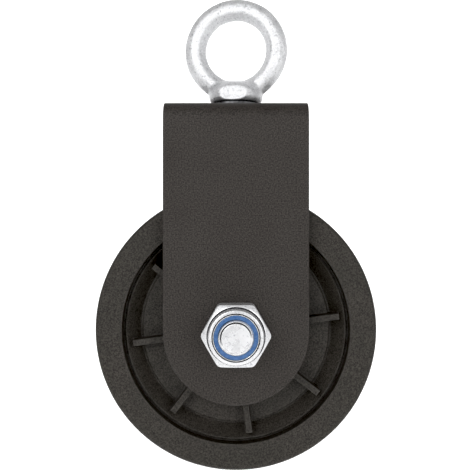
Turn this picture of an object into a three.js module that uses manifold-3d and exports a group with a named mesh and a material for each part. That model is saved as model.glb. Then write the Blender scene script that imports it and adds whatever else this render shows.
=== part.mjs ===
// Single sheave pulley block that hangs from a swivelling eye. A steel strap is bent into a bracket,
// a grooved nylon sheave turns in it on a deep groove ball bearing, a hexagon bolt with a lock nut is
// the axle, and a forged eye bolt stands on the bridge of the bracket.
//
// Millimetres, +Z up. The origin is the centre of the eye. The axle runs along Y, and its nut is on
// the -Y side. The bracket swivels about Z, and the sheave turns about Y.
import * as THREE from "three";
import { mergeVertices } from "three/addons/utils/BufferGeometryUtils.js";
import Module from "manifold-3d";

const wasm = await Module();
wasm.setup();

// ---- Driving dimensions --------------------------------------------------------------------------

// Sheave: a moulded wheel with a rope groove, and a recess with ribs in both faces.
const SHEAVE_DIAMETER = 90;
const SHEAVE_WIDTH = 24;
const GROOVE_DEPTH = 8;
const GROOVE_ROOT_RADIUS = 3.5;
const GROOVE_FLANK_ANGLE = THREE.MathUtils.degToRad(18);
const GROOVE_LIP_RADIUS = 0.8;
const RIM_EDGE_RADIUS = 1.5;
const RIM_FACE_HEIGHT = 8.65;
const RIM_STEP_DEPTH = 2;
const RIM_STEP_DRAFT = 0.7;
const CONE_HEIGHT = 5.4;
const CONE_DEPTH = 5;
const DISC_DEPTH = 4.5;
const MOAT_DRAFT = 0.15;
const HUB_WALL = 4.5;
const HUB_PROUD = 4;
const RIB_COUNT = 8;
const RIB_THICKNESS = 2;
const RIB_PROUD = 4;
const RIB_OVERHANG = 3;
const RIB_REST_ANGLE = THREE.MathUtils.degToRad(7.4);
const RIB_ROOT = 1;

// Ball bearing, 12 x 32 x 10, with metal shields.
const BEARING_DIAMETER = 32;
const BEARING_WIDTH = 10;
const BALL_COUNT = 7;
const BALL_DIAMETER = 5.953;
const RACE_CONFORMITY = 0.52;
const SHOULDER_OFFSET = 1.85;
const SHIELD_THICKNESS = 0.3;
const SHIELD_INSET = 0.6;
const SHIELD_SEAT_DEPTH = 0.85;
const CAGE_THICKNESS = 1.8;
const CAGE_BASE = 0.7;
const CAGE_PRONG_REACH = 1.5;

// Ring that holds the bearing against the lip in the sheave.
const RETAINING_RING_THICKNESS = 1.2;
const RETAINING_RING_WIDTH = 3;
const RETAINING_GROOVE_DEPTH = 0.85;
const RETAINING_RING_GAP = THREE.MathUtils.degToRad(50);
const BEARING_LIP = 1.6;

// Bracket: one strap, bent twice.
const STRAP_WIDTH = 45.5;
const STRAP_THICKNESS = 3;
const BEND_INNER_RADIUS = 2.5;

// Axle: an M12 hexagon bolt with a lock nut, and a spacer tube on each side of the bearing.
const AXLE_DIAMETER = 12;
const AXLE_ACROSS_FLATS = 19;
const AXLE_HEAD_HEIGHT = 7.5;
const AXLE_NUT_HEIGHT = 12;
const AXLE_PROUD = 1;
const AXLE_POINT_DIAMETER = 8.8;
const AXLE_POINT_LENGTH = 2.6;
const SPACER_DIAMETER = 17;

// Eye bolt: M8, with its lock nut inside the bracket.
const EYE_OUTER_DIAMETER = 35;
const EYE_HOLE_DIAMETER = 20;
const EYE_THICKNESS = 7.5;
const EYE_CENTRE_TO_SEAT = 18;
const EYE_TURN = THREE.MathUtils.degToRad(-7);
const COLLAR_DIAMETER = 18.2;
const COLLAR_HEIGHT = 3.2;
const COLLAR_UNDERCUT = 2;
const EYE_THREAD_DIAMETER = 8;
const EYE_NUT_ACROSS_FLATS = 13;
const EYE_NUT_HEIGHT = 8;
const EYE_PROUD = 1.5;
const EYE_END_CHAMFER = 1;
const WASHER_DIAMETER = 16;
const WASHER_THICKNESS = 1.6;

// Lock nuts: shares of the nut's height and across flats that every size of this nut has.
const NUT_HEX_SHARE = 0.76;
const NUT_COLLAR_SHARE = 0.87;
const NUT_CHAMFER_SHARE = 0.95;
const NUT_CHAMFER_ANGLE = THREE.MathUtils.degToRad(30);
const INSERT_WALL = 0.75;
const INSERT_SHARE = 0.2;

// Clearances: axial ones are the whole gap between two faces, radial ones are on the radius.
const ROPE_GAP = 13;
const SIDE_GAP = 3;
const SWIVEL_PLAY = 0.1;
const SWIVEL_CLEARANCE = 0.05;
const THREAD_CLEARANCE = 0.05;
const WASHER_CLEARANCE = 0.2;
const AXLE_HOLE_CLEARANCE = 0.25;
const SEAT_CLEARANCE = 0.02;
const BALL_PLAY = 0.05;
const POCKET_CLEARANCE = 0.1;
const SHIELD_CLEARANCE = 0.25;
const RING_SIDE_CLEARANCE = 0.05;
const CAGE_END_CLEARANCE = 0.2;

// Sides of the polygons that stand for circles.
const SHEAVE_SIDES = 40;
const ROUND_SIDES = 24;
const BALL_SIDES = 10;
const POCKET_SIDES = 16;
const EYE_SIDES = 32;
const EYE_SECTION_SIDES = 8;
const CORNER_STEPS = 5;
const BEND_STEPS = 6;
const HEX = 6;

// ---- Derived sizes and places --------------------------------------------------------------------

const sheaveRadius = SHEAVE_DIAMETER / 2;
const sheaveHalf = SHEAVE_WIDTH / 2;
const discFace = sheaveHalf - DISC_DEPTH;
const hubFace = discFace + HUB_PROUD;
const rimInnerRadius = sheaveRadius - RIM_FACE_HEIGHT;
const coneTopRadius = rimInnerRadius - RIM_STEP_DRAFT;
const coneTopFace = sheaveHalf - RIM_STEP_DEPTH;
const discRadius = coneTopRadius - CONE_HEIGHT;
const moatFace = coneTopFace - CONE_DEPTH;
const hubRadius = BEARING_DIAMETER / 2 + HUB_WALL;

const bearingRadius = BEARING_DIAMETER / 2;
const bearingHalf = BEARING_WIDTH / 2;
const ballRadius = BALL_DIAMETER / 2;
const pitchRadius = (BEARING_DIAMETER + AXLE_DIAMETER) / 4;
const raceRadius = BALL_DIAMETER * RACE_CONFORMITY;
const innerShoulder = pitchRadius - SHOULDER_OFFSET;
const outerShoulder = pitchRadius + SHOULDER_OFFSET;
const shieldSeatRadius = outerShoulder + SHIELD_SEAT_DEPTH;
const shieldInnerFace = bearingHalf - SHIELD_INSET - SHIELD_THICKNESS;

const strapOuterHalf = sheaveHalf + SIDE_GAP + STRAP_THICKNESS;
const strapInnerHalf = sheaveHalf + SIDE_GAP;
const axleRadius = AXLE_DIAMETER / 2;

const bridgeTop = -(EYE_CENTRE_TO_SEAT + WASHER_THICKNESS + SWIVEL_PLAY);
const bridgeUnderside = bridgeTop - STRAP_THICKNESS;
const lowerWasherTop = bridgeUnderside - SWIVEL_PLAY;
const eyeNutSeat = lowerWasherTop - WASHER_THICKNESS;
const eyeShankEnd = eyeNutSeat - EYE_NUT_HEIGHT - EYE_PROUD;
const axleHeight = eyeShankEnd - ROPE_GAP - sheaveRadius;

// ---- Materials -----------------------------------------------------------------------------------

function material(color, roughness, metalness) {
  return new THREE.MeshStandardMaterial({ color, roughness, metalness });
}

const blackPowderCoat = () => material(0x3f3b38, 0.75, 0.1);
const blackNylon = () => material(0x3a3734, 0.6, 0);
const zincPlate = () => material(0xc9cbcf, 0.3, 1);
const blueNylon = () => material(0x3f6fb4, 0.45, 0);
const bearingSteel = () => material(0xb4b6b8, 0.2, 1);
const springSteel = () => material(0x4a4a4c, 0.4, 1);
const naturalNylon = () => material(0xd8cfb8, 0.5, 0);

// ---- Shape helpers -------------------------------------------------------------------------------

const point = (x, y) => new THREE.Vector2(x, y);

// The corner radius of a polygon whose flats lie at a radius, so that a hole clears what is in it.
const cornerRadius = (flatRadius, sides) => flatRadius / Math.cos(Math.PI / sides);

// A body of revolution about Y. The outline of (radius, y) points runs up the outer side, and it
// starts and ends on the axis or closes on itself.
function turned(outline, sides = ROUND_SIDES) {
  const onAxis = outline[0].x === 0;
  return new THREE.LatheGeometry(onAxis ? outline : [...outline, outline[0]], sides);
}

// A ring about Y between two radii and two heights.
function turnedRing(innerRadius, outerRadius, low, high, sides = ROUND_SIDES) {
  const bore = cornerRadius(innerRadius, sides);
  const outline = [point(bore, low), point(outerRadius, low), point(outerRadius, high), point(bore, high)];
  return turned(outline, sides);
}

// Points of an arc about (x, y), from one angle to another.
function arc(x, y, radius, from, to, steps = CORNER_STEPS) {
  return Array.from({ length: steps + 1 }, (_, step) => {
    const angle = from + ((to - from) * step) / steps;
    return point(x + radius * Math.cos(angle), y + radius * Math.sin(angle));
  });
}

function toSolid(geometry) {
  const bare = geometry.clone();
  bare.deleteAttribute("normal");
  bare.deleteAttribute("uv");
  const merged = mergeVertices(bare);
  return new wasm.Manifold(
    new wasm.Mesh({
      numProp: 3,
      vertProperties: merged.attributes.position.array,
      triVerts: merged.index.array,
    }),
  );
}

function toGeometry(solid) {
  const mesh = solid.getMesh();
  const geometry = new THREE.BufferGeometry();
  geometry.setAttribute("position", new THREE.BufferAttribute(mesh.vertProperties, mesh.numProp));
  geometry.setIndex(new THREE.BufferAttribute(mesh.triVerts, 1));
  const flat = geometry.toNonIndexed();
  flat.computeVertexNormals();
  return flat;
}

function piece(name, geometry, finish) {
  const mesh = new THREE.Mesh(geometry, finish);
  mesh.name = name;
  return mesh;
}

// ---- Fasteners -----------------------------------------------------------------------------------

// A hexagon about Y from y = 0 to its height, corners on X, with both faces chamfered.
function hexagon(acrossFlats, height) {
  const cornerReach = cornerRadius(acrossFlats / 2, HEX);
  const faceRadius = (acrossFlats / 2) * NUT_CHAMFER_SHARE;
  const rise = (cornerReach - faceRadius) * Math.tan(NUT_CHAMFER_ANGLE);
  const prism = new THREE.CylinderGeometry(cornerReach, cornerReach, height, HEX, 1, false, Math.PI / 2);
  prism.translate(0, height / 2, 0);
  const barrel = turned([
    point(0, 0),
    point(faceRadius, 0),
    point(cornerReach, rise),
    point(cornerReach, height - rise),
    point(faceRadius, height),
    point(0, height),
  ]);
  return toSolid(prism).intersect(toSolid(barrel));
}

// The bore of a lock nut's nylon insert and the recess that it sits in.
function insertSize(threadDiameter, height) {
  return {
    bore: threadDiameter / 2 + THREAD_CLEARANCE,
    outer: threadDiameter / 2 + INSERT_WALL,
    low: height * (1 - INSERT_SHARE),
    high: height,
  };
}

// A lock nut about Y that stands on y = 0, without its insert.
function lockNut(threadDiameter, acrossFlats, height) {
  const insert = insertSize(threadDiameter, height);
  const collarRadius = (acrossFlats * NUT_COLLAR_SHARE) / 2;
  const collar = turned([
    point(0, 0),
    point(collarRadius, 0),
    point(collarRadius, height - INSERT_WALL),
    point(collarRadius - INSERT_WALL, height),
    point(0, height),
  ]);
  const boreRadius = cornerRadius(insert.bore, ROUND_SIDES);
  const recessRadius = cornerRadius(insert.outer + SEAT_CLEARANCE, ROUND_SIDES);
  const bore = turned([
    point(0, -1),
    point(boreRadius, -1),
    point(boreRadius, insert.low),
    point(recessRadius, insert.low),
    point(recessRadius, height + 1),
    point(0, height + 1),
  ]);
  return toGeometry(
    hexagon(acrossFlats, height * NUT_HEX_SHARE)
      .add(toSolid(collar))
      .subtract(toSolid(bore)),
  );
}

function nutInsert(threadDiameter, height) {
  const insert = insertSize(threadDiameter, height);
  return turnedRing(insert.bore, insert.outer, insert.low, insert.high);
}

// ---- Eye bolt ------------------------------------------------------------------------------------

// The ring about Y and, below it, the neck, collar and shank about Z.
function eyeBolt() {
  const meanRadius = (EYE_OUTER_DIAMETER + EYE_HOLE_DIAMETER) / 4;
  const wallHalf = (EYE_OUTER_DIAMETER - EYE_HOLE_DIAMETER) / 4;
  const section = Array.from({ length: EYE_SECTION_SIDES }, (_, step) => {
    const angle = (2 * Math.PI * step) / EYE_SECTION_SIDES;
    return point(meanRadius + wallHalf * Math.cos(angle), (EYE_THICKNESS / 2) * Math.sin(angle));
  });
  const ring = turned(section, EYE_SIDES);

  const collarRadius = COLLAR_DIAMETER / 2;
  const collarTop = COLLAR_HEIGHT - EYE_CENTRE_TO_SEAT;
  const neckTop = -meanRadius + wallHalf / 2;
  const neck = (share) => THREE.MathUtils.lerp(collarTop, neckTop, share);
  const stem = turned([
    point(0, eyeShankEnd),
    point(EYE_THREAD_DIAMETER / 2 - EYE_END_CHAMFER, eyeShankEnd),
    point(EYE_THREAD_DIAMETER / 2, eyeShankEnd + EYE_END_CHAMFER),
    point(EYE_THREAD_DIAMETER / 2, -EYE_CENTRE_TO_SEAT),
    ...arc(
      collarRadius - COLLAR_UNDERCUT,
      COLLAR_UNDERCUT - EYE_CENTRE_TO_SEAT,
      COLLAR_UNDERCUT,
      -Math.PI / 2,
      0,
    ),
    point(collarRadius, collarTop),
    point(collarRadius * 0.78, neck(0.4)),
    point(collarRadius * 0.58, neck(0.7)),
    point(collarRadius * 0.36, neck(0.95)),
    point(0, neckTop),
  ]);
  stem.rotateX(Math.PI / 2);
  return toGeometry(toSolid(ring).add(toSolid(stem)));
}

// A washer about Z whose top is at a height.
function washer(top) {
  const hole = EYE_THREAD_DIAMETER / 2 + WASHER_CLEARANCE;
  const disc = turnedRing(hole, WASHER_DIAMETER / 2, top - WASHER_THICKNESS, top);
  disc.rotateX(Math.PI / 2);
  return disc;
}

function eyeAssembly() {
  const eye = new THREE.Group();
  eye.rotation.z = EYE_TURN;
  eye.add(piece("eye_bolt", eyeBolt(), zincPlate()));
  eye.add(piece("eye_washer_upper", washer(-EYE_CENTRE_TO_SEAT), zincPlate()));
  eye.add(piece("eye_washer_lower", washer(lowerWasherTop), zincPlate()));

  const nut = new THREE.Group();
  nut.position.z = eyeNutSeat;
  nut.rotation.x = -Math.PI / 2;
  const nutShape = lockNut(EYE_THREAD_DIAMETER, EYE_NUT_ACROSS_FLATS, EYE_NUT_HEIGHT);
  nut.add(piece("eye_lock_nut", nutShape, zincPlate()));
  nut.add(piece("eye_nut_insert", nutInsert(EYE_THREAD_DIAMETER, EYE_NUT_HEIGHT), blueNylon()));
  eye.add(nut);
  return eye;
}

// ---- Bracket -------------------------------------------------------------------------------------

// The strap about the axle: its bent side profile, trimmed to its front outline, with three holes.
function bracket() {
  const top = bridgeTop - axleHeight;
  const bendOuterRadius = BEND_INNER_RADIUS + STRAP_THICKNESS;
  const halfWidth = STRAP_WIDTH / 2;
  const arcX = strapOuterHalf - bendOuterRadius;
  const arcZ = top - bendOuterRadius;

  const side = new THREE.Shape();
  side.moveTo(-strapOuterHalf, -halfWidth);
  side.lineTo(-strapOuterHalf, arcZ);
  side.absarc(-arcX, arcZ, bendOuterRadius, Math.PI, Math.PI / 2, true);
  side.absarc(arcX, arcZ, bendOuterRadius, Math.PI / 2, 0, true);
  side.lineTo(strapOuterHalf, -halfWidth);
  side.lineTo(strapInnerHalf, -halfWidth);
  side.absarc(arcX, arcZ, BEND_INNER_RADIUS, 0, Math.PI / 2, false);
  side.absarc(-arcX, arcZ, BEND_INNER_RADIUS, Math.PI / 2, Math.PI, false);
  side.lineTo(-strapInnerHalf, -halfWidth);
  side.closePath();
  const bent = new THREE.ExtrudeGeometry(side, {
    depth: STRAP_WIDTH,
    bevelEnabled: false,
    curveSegments: BEND_STEPS / 2,
  });
  bent.translate(0, 0, -halfWidth);
  const alongX = new THREE.Vector3(1, 0, 0);
  const alongY = new THREE.Vector3(0, 1, 0);
  const alongZ = new THREE.Vector3(0, 0, 1);
  bent.applyMatrix4(new THREE.Matrix4().makeBasis(alongY, alongZ, alongX));

  const front = new THREE.Shape();
  front.moveTo(-halfWidth, top + 1);
  front.lineTo(-halfWidth, 0);
  front.absarc(0, 0, halfWidth, Math.PI, 2 * Math.PI, false);
  front.lineTo(halfWidth, top + 1);
  front.closePath();
  const trim = new THREE.ExtrudeGeometry(front, {
    depth: 2 * strapOuterHalf + 2,
    bevelEnabled: false,
    curveSegments: ROUND_SIDES / 2,
  });
  trim.translate(0, 0, -strapOuterHalf - 1);
  trim.applyMatrix4(new THREE.Matrix4().makeBasis(alongX, alongZ, alongY.clone().negate()));

  const axleHoleRadius = cornerRadius(axleRadius + AXLE_HOLE_CLEARANCE, ROUND_SIDES);
  const axleHoles = new THREE.CylinderGeometry(
    axleHoleRadius,
    axleHoleRadius,
    2 * strapOuterHalf + 2,
    ROUND_SIDES,
  );
  const eyeHoleRadius = cornerRadius(EYE_THREAD_DIAMETER / 2 + SWIVEL_CLEARANCE, ROUND_SIDES);
  const eyeHole = new THREE.CylinderGeometry(
    eyeHoleRadius,
    eyeHoleRadius,
    STRAP_THICKNESS + 2,
    ROUND_SIDES,
  );
  eyeHole.rotateX(Math.PI / 2);
  eyeHole.translate(0, 0, top - STRAP_THICKNESS / 2);

  return toGeometry(
    toSolid(bent)
      .intersect(toSolid(trim))
      .subtract(toSolid(axleHoles))
      .subtract(toSolid(eyeHole)),
  );
}

// ---- Axle ----------------------------------------------------------------------------------------

// The bolt about Y: its head is on +Y, and its threaded end stands out of the nut on -Y.
function axleBolt() {
  const head = toSolid(
    toGeometry(hexagon(AXLE_ACROSS_FLATS, AXLE_HEAD_HEIGHT)).translate(0, strapOuterHalf, 0),
  );
  const end = -(strapOuterHalf + AXLE_NUT_HEIGHT + AXLE_PROUD);
  const shank = turned([
    point(0, end),
    point(AXLE_POINT_DIAMETER / 2, end),
    point(axleRadius, end + AXLE_POINT_LENGTH),
    point(axleRadius, strapOuterHalf + 1),
    point(0, strapOuterHalf + 1),
  ]);
  return toGeometry(head.add(toSolid(shank)));
}

function spacer(low, high) {
  return turnedRing(axleRadius + AXLE_HOLE_CLEARANCE, SPACER_DIAMETER / 2, low, high);
}

function axleAssembly() {
  const axle = new THREE.Group();
  axle.add(piece("axle_bolt", axleBolt(), zincPlate()));
  axle.add(piece("spacer_front", spacer(-strapInnerHalf, -bearingHalf), zincPlate()));
  axle.add(piece("spacer_rear", spacer(bearingHalf, strapInnerHalf), zincPlate()));

  const nut = new THREE.Group();
  nut.position.y = -strapOuterHalf;
  nut.rotation.x = Math.PI;
  const nutShape = lockNut(AXLE_DIAMETER, AXLE_ACROSS_FLATS, AXLE_NUT_HEIGHT);
  nut.add(piece("axle_lock_nut", nutShape, zincPlate()));
  nut.add(piece("axle_nut_insert", nutInsert(AXLE_DIAMETER, AXLE_NUT_HEIGHT), blueNylon()));
  axle.add(nut);
  return axle;
}

// ---- Bearing -------------------------------------------------------------------------------------

function bearingInnerRing() {
  const raceCentre = pitchRadius - ballRadius - BALL_PLAY + raceRadius;
  const raceEdge = Math.acos((raceCentre - innerShoulder) / raceRadius);
  const bore = cornerRadius(axleRadius + SEAT_CLEARANCE, ROUND_SIDES);
  return turned([
    point(bore, -bearingHalf),
    point(innerShoulder, -bearingHalf),
    ...arc(raceCentre, 0, raceRadius, Math.PI + raceEdge, Math.PI - raceEdge, CORNER_STEPS + 1),
    point(innerShoulder, bearingHalf),
    point(bore, bearingHalf),
  ]);
}

function bearingOuterRing() {
  const raceCentre = pitchRadius + ballRadius + BALL_PLAY - raceRadius;
  const raceEdge = Math.acos((outerShoulder - raceCentre) / raceRadius);
  const race = arc(raceCentre, 0, raceRadius, raceEdge, -raceEdge, CORNER_STEPS + 1);
  const seat = bearingHalf - SHIELD_INSET - SHIELD_THICKNESS - RING_SIDE_CLEARANCE;
  const inside = [
    point(shieldSeatRadius, bearingHalf),
    point(shieldSeatRadius, seat),
    point(outerShoulder, seat),
    ...race,
    point(outerShoulder, -seat),
    point(shieldSeatRadius, -seat),
    point(shieldSeatRadius, -bearingHalf),
  ];
  return turned([
    point(bearingRadius, -bearingHalf),
    point(bearingRadius, bearingHalf),
    ...inside.map((corner) => point(cornerRadius(corner.x, ROUND_SIDES), corner.y)),
  ]);
}

// The place of a ball in the cage, as its angle about Y from +X towards +Z.
function ballCentre(index) {
  const angle = (2 * Math.PI * index) / BALL_COUNT + Math.PI / 2;
  return new THREE.Vector3(pitchRadius * Math.cos(angle), 0, pitchRadius * Math.sin(angle));
}

// A snap cage: a base ring on +Y, with prongs between the balls that point to -Y.
function bearingCage() {
  const pocketFlats = cornerRadius(ballRadius + POCKET_CLEARANCE, POCKET_SIDES);
  const pocketRadius = cornerRadius(pocketFlats, POCKET_SIDES);
  const high = Math.min(pocketRadius + CAGE_BASE, shieldInnerFace - CAGE_END_CLEARANCE);
  const innerRadius = pitchRadius - CAGE_THICKNESS / 2;
  const outerRadius = pitchRadius + CAGE_THICKNESS / 2;
  let cage = toSolid(turnedRing(innerRadius, outerRadius, -CAGE_PRONG_REACH, high));
  for (let index = 0; index < BALL_COUNT; index += 1) {
    const pocket = new THREE.SphereGeometry(pocketRadius, POCKET_SIDES, POCKET_SIDES / 2);
    pocket.translate(...ballCentre(index).toArray());
    cage = cage.subtract(toSolid(pocket));
  }
  return toGeometry(cage);
}

function bearingShield() {
  const inner = innerShoulder + SHIELD_CLEARANCE;
  const outer = shieldSeatRadius - SEAT_CLEARANCE;
  return turnedRing(inner, outer, shieldInnerFace, shieldInnerFace + SHIELD_THICKNESS);
}

function bearingAssembly() {
  const bearing = new THREE.Group();
  bearing.add(piece("bearing_inner_ring", bearingInnerRing(), bearingSteel()));
  bearing.add(piece("bearing_outer_ring", bearingOuterRing(), bearingSteel()));
  bearing.add(piece("bearing_cage", bearingCage(), naturalNylon()));
  for (let index = 0; index < BALL_COUNT; index += 1) {
    const shape = new THREE.SphereGeometry(ballRadius, BALL_SIDES, BALL_SIDES / 2 + 1);
    const ball = piece(`bearing_ball_${index + 1}`, shape, bearingSteel());
    ball.position.copy(ballCentre(index));
    bearing.add(ball);
  }
  bearing.add(piece("bearing_shield_rear", bearingShield(), bearingSteel()));
  const front = piece("bearing_shield_front", bearingShield(), bearingSteel());
  front.rotation.x = Math.PI;
  bearing.add(front);
  return bearing;
}

// ---- Sheave --------------------------------------------------------------------------------------

// The front half of the sheave's outline, on -Y: hub, disc, moat, cone, step, rim and groove flank.
function sheaveFront() {
  const flank = Math.PI / 2 - GROOVE_FLANK_ANGLE;
  const rootCentre = sheaveRadius - GROOVE_DEPTH + GROOVE_ROOT_RADIUS;
  const flankRadius = rootCentre - GROOVE_ROOT_RADIUS * Math.cos(flank);
  const flankHalf = GROOVE_ROOT_RADIUS * Math.sin(flank);
  const lipRadius = sheaveRadius - GROOVE_LIP_RADIUS;
  const lipHalf = flankHalf + (lipRadius - flankRadius) * Math.tan(GROOVE_FLANK_ANGLE);
  return [
    point(hubRadius, -hubFace),
    point(hubRadius, -discFace),
    point(discRadius, -discFace),
    point(discRadius + MOAT_DRAFT, -moatFace),
    point(coneTopRadius, -coneTopFace),
    point(rimInnerRadius, -sheaveHalf),
    ...arc(
      sheaveRadius - RIM_EDGE_RADIUS,
      RIM_EDGE_RADIUS - sheaveHalf,
      RIM_EDGE_RADIUS,
      -Math.PI / 2,
      0,
      2,
    ),
    point(sheaveRadius, -lipHalf - GROOVE_LIP_RADIUS),
    point(lipRadius, -lipHalf),
    ...arc(rootCentre, 0, GROOVE_ROOT_RADIUS, Math.PI + flank, Math.PI, CORNER_STEPS - 1).slice(0, -1),
  ];
}

const mirrored = (outline) => outline.map((corner) => point(corner.x, -corner.y)).reverse();

// The bore, from +Y to -Y: the lip behind the bearing, its seat and the retaining ring's groove.
function sheaveBore() {
  const seat = cornerRadius(bearingRadius + SEAT_CLEARANCE, SHEAVE_SIDES);
  const ringGroove = cornerRadius(bearingRadius + RETAINING_GROOVE_DEPTH, SHEAVE_SIDES);
  const ringNear = -bearingHalf - RING_SIDE_CLEARANCE;
  const ringFar = ringNear - RETAINING_RING_THICKNESS - 2 * RING_SIDE_CLEARANCE;
  return [
    point(bearingRadius - BEARING_LIP, hubFace),
    point(bearingRadius - BEARING_LIP, bearingHalf),
    point(seat, bearingHalf),
    point(seat, ringNear),
    point(ringGroove, ringNear),
    point(ringGroove, ringFar),
    point(seat, ringFar),
    point(seat, -hubFace),
  ];
}

// One rib, from the hub across the disc and the moat into the cone, standing proud of the disc.
function rib(angle, face) {
  const ribTop = discFace + RIB_PROUD;
  const outerEnd = discRadius + RIB_OVERHANG;
  const innerEnd = hubRadius - RIB_ROOT;
  const ribBase = moatFace - RIB_ROOT;
  const bar = new THREE.BoxGeometry(outerEnd - innerEnd, ribTop - ribBase, RIB_THICKNESS);
  bar.translate((outerEnd + innerEnd) / 2, (face * (ribTop + ribBase)) / 2, 0);
  bar.rotateY(-angle);
  return toSolid(bar);
}

function sheave() {
  const front = sheaveFront();
  const root = point(sheaveRadius - GROOVE_DEPTH, 0);
  const outline = [...front, root, ...mirrored(front), ...sheaveBore()];
  let wheel = toSolid(turned(outline, SHEAVE_SIDES));
  for (const face of [-1, 1]) {
    for (let index = 0; index < RIB_COUNT; index += 1) {
      wheel = wheel.add(rib(RIB_REST_ANGLE + (2 * Math.PI * index) / RIB_COUNT, face));
    }
  }
  return toGeometry(wheel);
}

// The ring in its groove: open at the bottom, on the -Y side of the bearing.
function retainingRing() {
  const outer = bearingRadius + RETAINING_GROOVE_DEPTH - SEAT_CLEARANCE;
  const inner = outer - RETAINING_RING_WIDTH;
  const from = -Math.PI / 2 + RETAINING_RING_GAP / 2;
  const to = (3 * Math.PI) / 2 - RETAINING_RING_GAP / 2;
  const outline = new THREE.Shape();
  outline.absarc(0, 0, outer, from, to, false);
  outline.absarc(0, 0, inner, to, from, true);
  outline.closePath();
  const ring = new THREE.ExtrudeGeometry(outline, {
    depth: RETAINING_RING_THICKNESS,
    bevelEnabled: false,
    curveSegments: ROUND_SIDES / 2,
  });
  ring.rotateX(Math.PI / 2);
  ring.translate(0, -bearingHalf - 2 * RING_SIDE_CLEARANCE, 0);
  return ring;
}

// ---- Assembly ------------------------------------------------------------------------------------

const block = new THREE.Group();
block.add(eyeAssembly());

const axleLine = new THREE.Group();
axleLine.position.z = axleHeight;
axleLine.add(piece("bracket", bracket(), blackPowderCoat()));
axleLine.add(axleAssembly());
axleLine.add(bearingAssembly());
axleLine.add(piece("sheave", sheave(), blackNylon()));
axleLine.add(piece("bearing_retaining_ring", retainingRing(), springSteel()));
block.add(axleLine);

export default block;
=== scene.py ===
"""The looks of a single sheave pulley block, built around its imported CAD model."""

import math

import bmesh
import bpy
from mathutils import Matrix, Vector, noise


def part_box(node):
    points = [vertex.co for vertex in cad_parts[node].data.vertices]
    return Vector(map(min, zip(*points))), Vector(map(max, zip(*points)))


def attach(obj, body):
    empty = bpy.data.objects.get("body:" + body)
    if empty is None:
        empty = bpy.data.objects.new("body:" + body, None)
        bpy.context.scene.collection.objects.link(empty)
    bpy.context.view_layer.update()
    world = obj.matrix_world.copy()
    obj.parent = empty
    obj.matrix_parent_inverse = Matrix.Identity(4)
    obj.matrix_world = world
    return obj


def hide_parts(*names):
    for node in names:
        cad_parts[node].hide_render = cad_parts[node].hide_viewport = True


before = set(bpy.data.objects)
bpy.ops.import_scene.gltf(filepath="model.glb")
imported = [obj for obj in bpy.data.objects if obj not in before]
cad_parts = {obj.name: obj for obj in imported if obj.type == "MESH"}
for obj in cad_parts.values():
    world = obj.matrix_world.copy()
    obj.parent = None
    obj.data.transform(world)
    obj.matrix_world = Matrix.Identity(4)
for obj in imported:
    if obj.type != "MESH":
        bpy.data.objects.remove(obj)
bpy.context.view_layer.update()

MM = 0.001
TURN = 2 * math.pi

# ---- Sizes from the frame, in millimetres --------------------------------------------------------


def node_box(node):
    """The lowest and highest corner of a CAD node, in millimetres."""
    low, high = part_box(node)
    return low / MM, high / MM


def radius_about_y(node):
    low, high = node_box(node)
    return (high.x - low.x) / 2


sheave_low, sheave_high = node_box("sheave")
strap_high = node_box("bracket")[1]
AXLE_Z = (sheave_low.z + sheave_high.z) / 2
SHEAVE_RADIUS = radius_about_y("sheave")
SHEAVE_HALF = sheave_high.y
STRAP_HALF_WIDTH = strap_high.x
STRAP_OUTER = strap_high.y
BRIDGE_TOP = strap_high.z
SPACER_REAR = node_box("spacer_rear")
STRAP_INNER = SPACER_REAR[1].y
STRAP_THICKNESS = STRAP_OUTER - STRAP_INNER
EYE_TOP = node_box("eye_bolt")[1].z
EYE_SHANK_END = node_box("eye_bolt")[0].z
EYE_SEAT = node_box("eye_washer_upper")[1].z
EYE_NUT_LOW, EYE_NUT_HIGH = node_box("eye_lock_nut")
AXLE_LOW, AXLE_HIGH = node_box("axle_bolt")
AXLE_NUT_LOW, AXLE_NUT_HIGH = node_box("axle_lock_nut")
EYE_TURN = math.radians(-7)
AXLE_THREAD = 6.0
EYE_THREAD = 4.0

# ---- Mesh building -------------------------------------------------------------------------------


def new_object(name, vertices, faces, smooth=True):
    """An object from vertices in millimetres, with its faces turned outwards."""
    mesh = bpy.data.meshes.new(name)
    mesh.from_pydata([Vector(v) * MM for v in vertices], [], faces)
    made = bmesh.new()
    made.from_mesh(mesh)
    bmesh.ops.remove_doubles(made, verts=made.verts, dist=1e-7)
    bmesh.ops.recalc_face_normals(made, faces=made.faces)
    for face in made.faces:
        face.smooth = smooth
    made.to_mesh(mesh)
    made.free()
    piece = bpy.data.objects.new(name, mesh)
    bpy.context.scene.collection.objects.link(piece)
    return piece


def apply_modifier(piece, kind, **settings):
    modifier = piece.modifiers.new(kind, kind)
    for key, value in settings.items():
        setattr(modifier, key, value)
    bpy.context.view_layer.objects.active = piece
    with bpy.context.temp_override(object=piece, active_object=piece):
        bpy.ops.object.modifier_apply(modifier=modifier.name)


def bevel_edges(piece, width, segments):
    """Rounds the sharp edges over width millimetres."""
    sharp = math.radians(40)
    apply_modifier(
        piece, "BEVEL", width=width * MM, segments=segments, limit_method="ANGLE", angle_limit=sharp
    )


def weigh_normals(piece):
    """Keeps flat faces flat where they meet a small rounding."""
    apply_modifier(piece, "WEIGHTED_NORMAL", weight=100, keep_sharp=True)


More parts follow.
